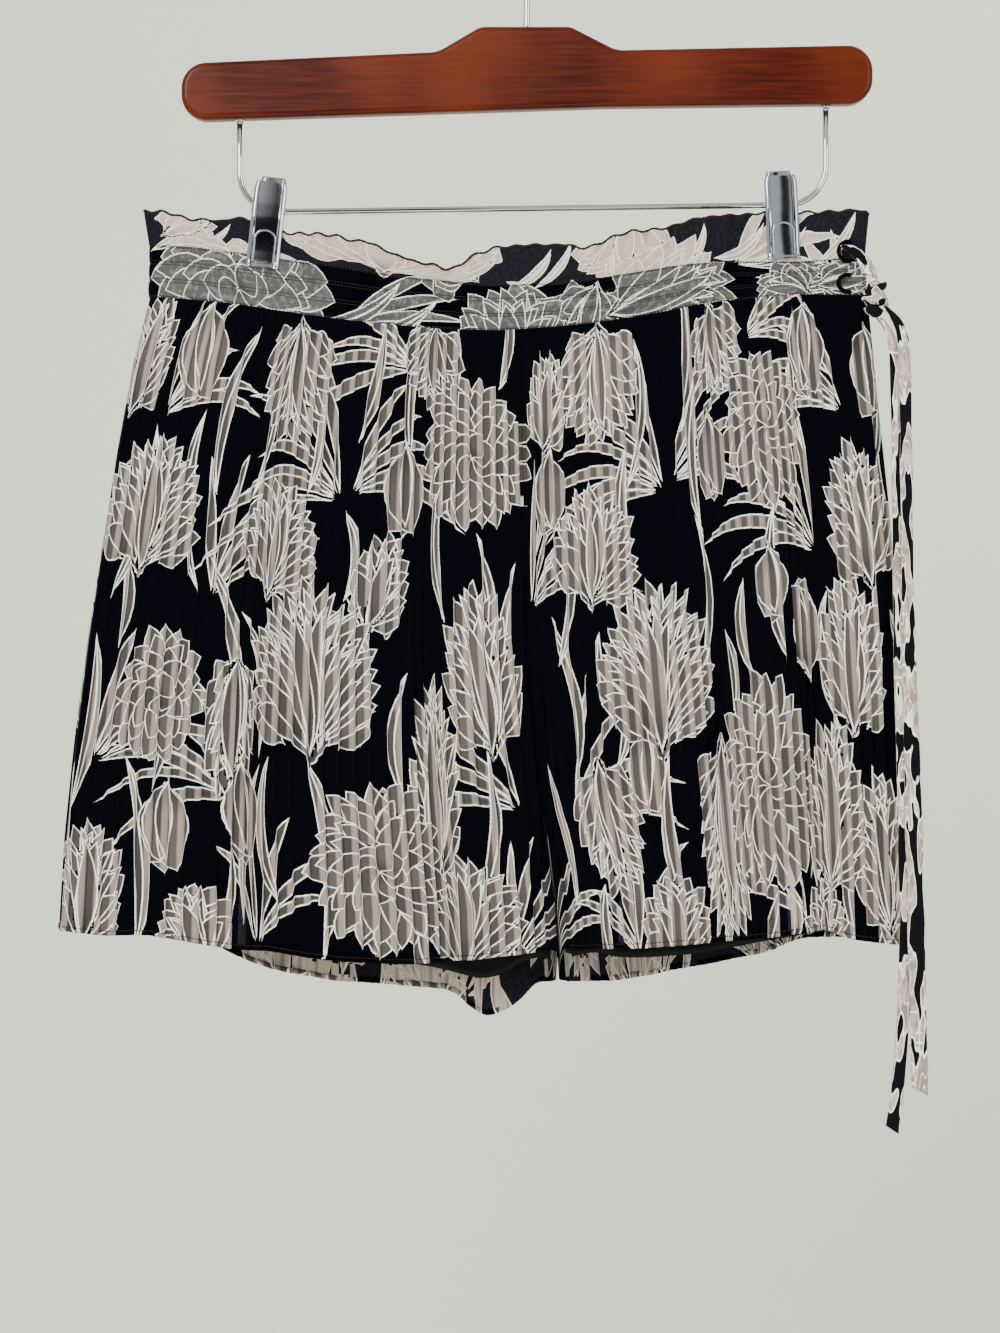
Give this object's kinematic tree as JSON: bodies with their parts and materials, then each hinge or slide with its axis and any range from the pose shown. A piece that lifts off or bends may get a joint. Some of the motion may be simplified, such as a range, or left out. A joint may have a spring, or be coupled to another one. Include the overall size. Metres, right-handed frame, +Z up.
{
  "type": "pleated shorts on a clip hanger",
  "caption": "Short accordion-pleated pull-on shorts with a frilled elastic waist and a side tie, hanging from a wooden clip hanger.",
  "frame": {"origin": "the seat inside the hanger's hook, where a rail or nail carries it", "axes": "+X to the right of someone facing the front, -Y towards that person, +Z up"},
  "size_m": [0.4425, 0.0535, 0.6297],
  "materials": {
    "printed_chiffon": "matte, sheer, near-black navy ground with grey-taupe and cream motifs",
    "lining_satin": "soft satin, black",
    "loop_thread": "matte, black",
    "lacquered_wood": "gloss lacquer, red-brown",
    "chrome": "polished"
  },
  "bodies": {
    "root": {"front_left": "printed_chiffon", "front_right": "printed_chiffon", "back_left": "printed_chiffon", "back_right": "printed_chiffon", "waistband_front": "printed_chiffon", "waistband_back": "printed_chiffon", "ruffle_front": "printed_chiffon", "ruffle_back": "printed_chiffon", "lining_left": "lining_satin", "lining_right": "lining_satin", "tie_strap": "printed_chiffon", "tie_knot": "printed_chiffon", "tie_end_inner": "printed_chiffon", "tie_end_outer": "printed_chiffon", "loop_upper": "loop_thread", "loop_lower": "loop_thread", "hanger_bar": "lacquered_wood", "hanger_hook": "chrome", "hanger_wire": "chrome", "clip_left_front": "chrome", "clip_left_back": "chrome", "clip_right_front": "chrome", "clip_right_back": "chrome"}
  },
  "joints": []
}
